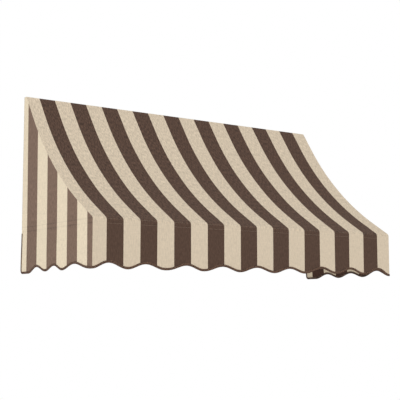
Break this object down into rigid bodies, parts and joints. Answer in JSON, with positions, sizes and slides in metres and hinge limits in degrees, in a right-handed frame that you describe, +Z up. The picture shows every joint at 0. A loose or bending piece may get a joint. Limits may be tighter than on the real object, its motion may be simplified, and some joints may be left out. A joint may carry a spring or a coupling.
{
  "type": "window awning",
  "caption": "Fixed concave window awning: striped cloth with scalloped valance and closed wings on a square tube frame that hangs on wall brackets.",
  "frame": {"origin": "on the wall plane, at the middle of the back face of the middle wall bracket under the head bar", "axes": "+X along the wall to the viewer's right, +Y into the wall, +Z up; the awning stands out towards -Y"},
  "size_m": [1.6402, 0.6341, 0.781],
  "materials": {
    "striped_cloth": "woven acrylic with tan and brown stripes, matt",
    "binding_tape": "brown braided tape, matt",
    "aluminium_tube": "extruded, mill finish",
    "cast_aluminium": "die cast, satin",
    "galvanised_steel": "pressed and zinc coated",
    "zinc_plated_steel": "zinc plated"
  },
  "bodies": {
    "root": {"binding": "binding_tape", "front_bar": "aluminium_tube", "front_panel": "striped_cloth", "front_tee": "cast_aluminium", "front_tee_screw_1": "zinc_plated_steel", "front_tee_screw_2": "zinc_plated_steel", "head_bar": "aluminium_tube", "head_cover_screw_1": "zinc_plated_steel", "head_cover_screw_2": "zinc_plated_steel", "head_cover_screw_3": "zinc_plated_steel", "head_cover_screw_4": "zinc_plated_steel", "head_tee": "cast_aluminium", "head_tee_screw_1": "zinc_plated_steel", "head_tee_screw_2": "zinc_plated_steel", "left_arm": "aluminium_tube", "left_cover_screw_1": "zinc_plated_steel", "left_cover_screw_2": "zinc_plated_steel", "left_frame_screw_1": "zinc_plated_steel", "left_frame_screw_2": "zinc_plated_steel", "left_frame_screw_3": "zinc_plated_steel", "left_frame_screw_4": "zinc_plated_steel", "left_frame_screw_5": "zinc_plated_steel", "left_frame_screw_6": "zinc_plated_steel", "left_frame_screw_7": "zinc_plated_steel", "left_frame_screw_8": "zinc_plated_steel", "left_front_fitting": "cast_aluminium", "left_head_bracket": "galvanised_steel", "left_head_bracket_screw": "zinc_plated_steel", "left_post": "aluminium_tube", "left_post_bracket": "galvanised_steel", "left_post_bracket_screw": "zinc_plated_steel", "left_rafter": "aluminium_tube", "left_top_fitting": "cast_aluminium", "left_wall_fitting": "cast_aluminium", "left_wing": "striped_cloth", "middle_bracket": "galvanised_steel", "middle_bracket_screw": "zinc_plated_steel", "middle_rafter": "aluminium_tube", "right_arm": "aluminium_tube", "right_cover_screw_1": "zinc_plated_steel", "right_cover_screw_2": "zinc_plated_steel", "right_frame_screw_1": "zinc_plated_steel", "right_frame_screw_2": "zinc_plated_steel", "right_frame_screw_3": "zinc_plated_steel", "right_frame_screw_4": "zinc_plated_steel", "right_frame_screw_5": "zinc_plated_steel", "right_frame_screw_6": "zinc_plated_steel", "right_frame_screw_7": "zinc_plated_steel", "right_frame_screw_8": "zinc_plated_steel", "right_front_fitting": "cast_aluminium", "right_head_bracket": "galvanised_steel", "right_head_bracket_screw": "zinc_plated_steel", "right_post": "aluminium_tube", "right_post_bracket": "galvanised_steel", "right_post_bracket_screw": "zinc_plated_steel", "right_rafter": "aluminium_tube", "right_top_fitting": "cast_aluminium", "right_wall_fitting": "cast_aluminium", "right_wing": "striped_cloth"}
  },
  "joints": []
}
